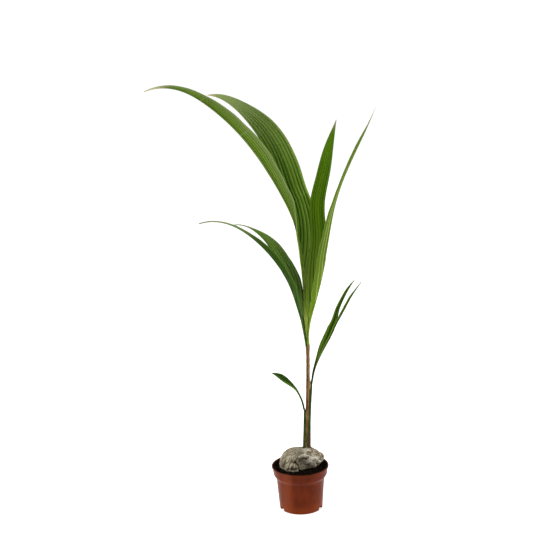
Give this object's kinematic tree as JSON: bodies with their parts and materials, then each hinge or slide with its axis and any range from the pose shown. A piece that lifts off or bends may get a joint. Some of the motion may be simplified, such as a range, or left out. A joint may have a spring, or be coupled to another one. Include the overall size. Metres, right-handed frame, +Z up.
{
  "type": "potted coconut palm",
  "caption": "Young coconut palm sprouting from a husk half sunk in the soil of a round collared nursery pot, with one slim stem and long forked pleated leaves.",
  "frame": {"origin": "centre of the pot's flat underside", "axes": "+Z up, +X to the right and -Y to the front as the plant is usually seen, with the tallest leaf arching over to -X"},
  "size_m": [0.7206, 0.323, 1.3955],
  "materials": {
    "pot_plastic": "moulded terracotta-brown plastic, satin",
    "peat": "crumbly dark peat",
    "husk": "dry fibrous grey-tan husk",
    "dry_sheath": "dry reddish-brown fibrous leaf sheath",
    "leaf_stalk": "smooth yellow-green stalk",
    "leaf": "pleated semi-gloss green leaf",
    "young_leaf": "pleated semi-gloss yellow-green young leaf"
  },
  "bodies": {
    "root": {"pot": "pot_plastic", "soil": "peat", "coconut": "husk", "stem": "dry_sheath", "leaf_1_petiole": "leaf_stalk", "leaf_1_blade": "leaf", "leaf_2_petiole": "leaf_stalk", "leaf_2_blade": "leaf", "leaf_2_front_lobe": "leaf", "leaf_2_back_lobe": "leaf", "leaf_3_petiole": "leaf_stalk", "leaf_3_blade": "leaf", "leaf_3_front_lobe": "leaf", "leaf_3_back_lobe": "leaf", "leaf_3_front_tip": "leaf", "leaf_4_petiole": "leaf_stalk", "leaf_4_blade": "leaf", "leaf_4_front_lobe": "leaf", "leaf_4_back_lobe": "leaf", "leaf_4_front_tip": "leaf", "leaf_4_back_tip": "leaf", "leaf_5_petiole": "leaf_stalk", "leaf_5_blade": "young_leaf", "leaf_5_front_lobe": "young_leaf", "leaf_5_back_lobe": "young_leaf"}
  },
  "joints": []
}
